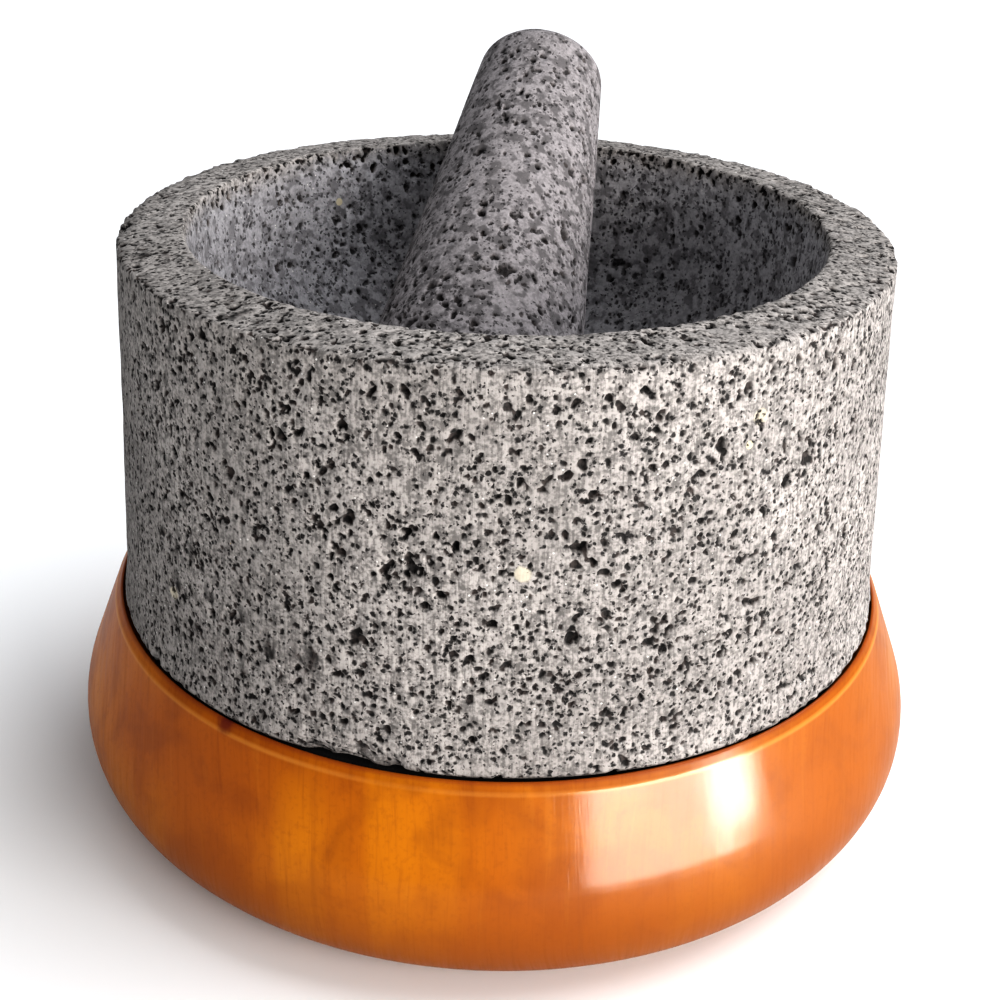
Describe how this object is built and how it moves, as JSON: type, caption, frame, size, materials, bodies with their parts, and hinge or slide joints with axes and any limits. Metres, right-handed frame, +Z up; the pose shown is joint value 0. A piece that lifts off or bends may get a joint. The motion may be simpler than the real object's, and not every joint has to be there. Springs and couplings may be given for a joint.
{
  "type": "mortar and pestle",
  "caption": "Round stone mortar with a tapered stone pestle leaning in its hollow, standing in a shallow recess on a turned wooden base.",
  "frame": {"origin": "middle of the base's flat foot, on the surface it stands on", "axes": "+Z up; -Y is the front, and the pestle leans back towards +Y and a little towards +X"},
  "size_m": [0.202, 0.202, 0.1656],
  "materials": {
    "varnished_wood": "gloss varnish",
    "black_felt": "matte",
    "bowl_basalt": "rough, open pores",
    "pestle_basalt": "smooth worn, open pores"
  },
  "bodies": {
    "base": {"wooden_base": "varnished_wood"},
    "pad": {"seat_pad": "black_felt"},
    "bowl": {"stone_bowl": "bowl_basalt"},
    "pestle": {"pestle": "pestle_basalt"}
  },
  "joints": [
    {"name": "pad_turn", "type": "hinge", "parent": "base", "child": "pad", "pos_m": [0, 0, 0.0465], "axis": [0, 0, 1], "continuous": true},
    {"name": "bowl_lift", "type": "slide", "parent": "pad", "child": "bowl", "axis": [0, 0, 1], "range_m": [0, 0.06]},
    {"name": "pestle_lift", "type": "slide", "parent": "bowl", "child": "pestle", "axis": [0, 0, 1], "range_m": [0, 0.1]}
  ]
}
